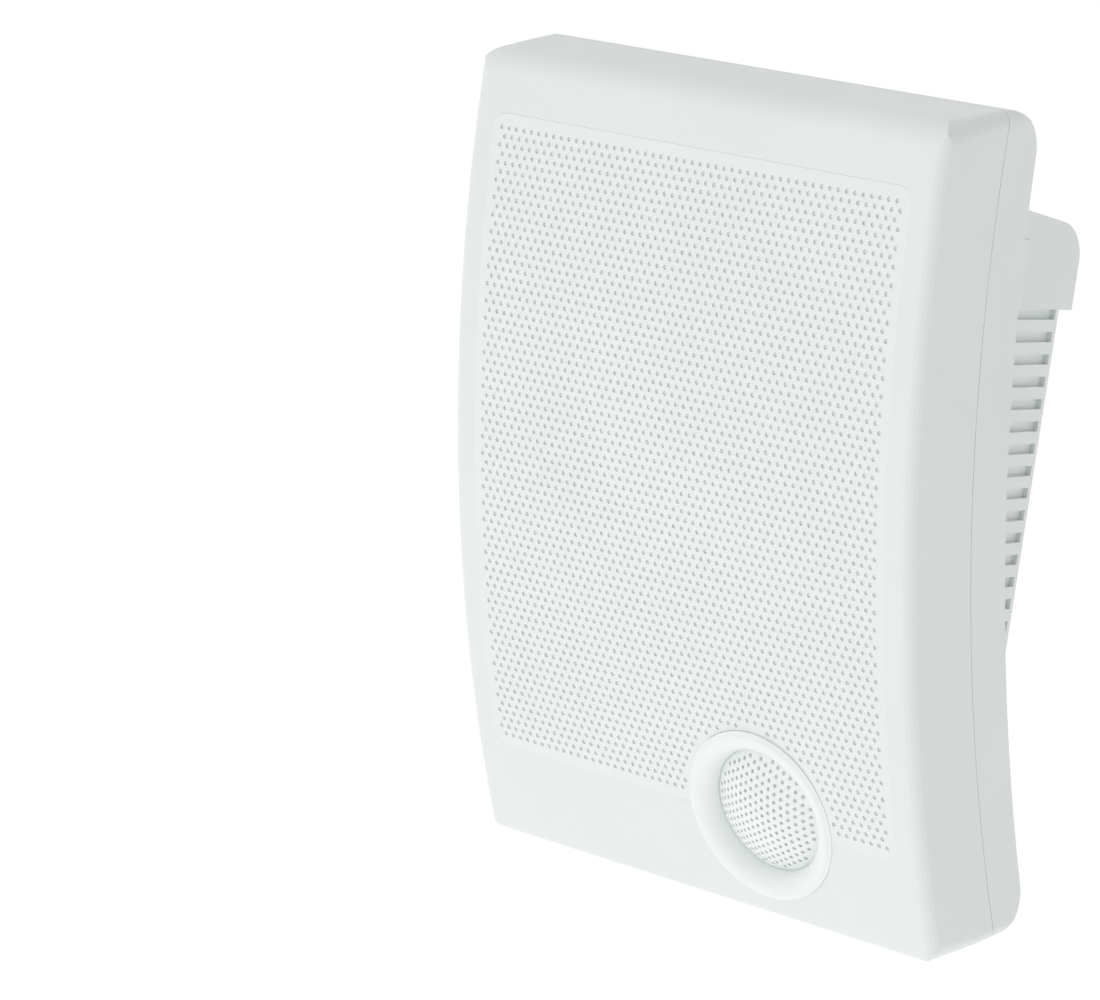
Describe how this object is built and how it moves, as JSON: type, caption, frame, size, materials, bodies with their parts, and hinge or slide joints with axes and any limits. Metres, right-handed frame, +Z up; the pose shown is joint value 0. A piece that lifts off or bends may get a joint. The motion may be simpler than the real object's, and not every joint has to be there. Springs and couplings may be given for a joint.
{
  "type": "wall speaker",
  "caption": "Bowed wall speaker that leans down from a wedge-shaped back box, with a perforated front, a dished tweeter ring, louvred sides, a keyhole and push terminals.",
  "frame": {"origin": "centre of the keyhole's round head, on the face of the back plate", "axes": "+X to the right seen from the room, +Y into the wall, +Z up; the front faces -Y and leans down by 12.5 degrees"},
  "size_m": [0.18, 0.11, 0.2499],
  "materials": {
    "white_shell": "fine satin",
    "white_grille": "satin paint",
    "grey_plastic": "matt",
    "black_plastic": "satin",
    "red_plastic": "satin",
    "zinc_steel": "zinc",
    "black_steel": "matt paint",
    "ferrite": "matt",
    "cone_paper": "matt",
    "spider_cloth": "matt",
    "black_rubber": "matt",
    "white_rubber": "matt",
    "copper": "bright",
    "board": "matt",
    "blue_film": "gloss",
    "cement": "matt",
    "white_cloth": "matt"
  },
  "bodies": {
    "cabinet": {"front_shell": "white_shell", "front_grille": "white_grille", "front_scrim": "white_cloth", "rear_shell": "white_shell", "baffle": "grey_plastic", "tweeter_ring": "white_shell", "tweeter_mesh": "white_grille", "tweeter_plate": "black_plastic", "tweeter_dome": "cone_paper", "tweeter_pole_plate": "zinc_steel", "tweeter_magnet": "ferrite", "tweeter_cup": "zinc_steel", "tweeter_screws": "zinc_steel", "woofer_gasket": "black_rubber", "woofer_basket": "black_steel", "woofer_surround": "black_rubber", "woofer_spider": "spider_cloth", "woofer_top_plate": "zinc_steel", "woofer_magnet": "ferrite", "woofer_yoke": "zinc_steel", "woofer_screws": "zinc_steel", "terminal_block": "black_plastic", "terminal_contacts": "zinc_steel", "terminal_screws": "zinc_steel", "crossover_board": "board", "crossover_coil": "copper", "crossover_capacitor": "blue_film", "crossover_resistor": "cement", "board_screws": "zinc_steel", "baffle_screws": "zinc_steel", "case_screws": "zinc_steel", "wall_pads": "white_rubber"},
    "woofer_diaphragm": {"woofer_cone": "cone_paper", "woofer_dust_cap": "cone_paper", "woofer_coil": "copper"},
    "black_tab": {"push_tab_black": "black_plastic"},
    "red_tab": {"push_tab_red": "red_plastic"}
  },
  "joints": [
    {"name": "woofer_travel", "type": "slide", "parent": "cabinet", "child": "woofer_diaphragm", "axis": [0, 0.9763, 0.2164], "range_m": [-0.0025, 0.0025], "stiffness_N_per_m": 1200, "deforming": ["woofer_surround", "woofer_spider"]},
    {"name": "black_tab_press", "type": "slide", "parent": "cabinet", "child": "black_tab", "axis": [0, -1, 0], "range_m": [0, 0.0025], "stiffness_N_per_m": 1500, "springref_m": -0.001},
    {"name": "red_tab_press", "type": "slide", "parent": "cabinet", "child": "red_tab", "axis": [0, -1, 0], "range_m": [0, 0.0025], "stiffness_N_per_m": 1500, "springref_m": -0.001}
  ]
}
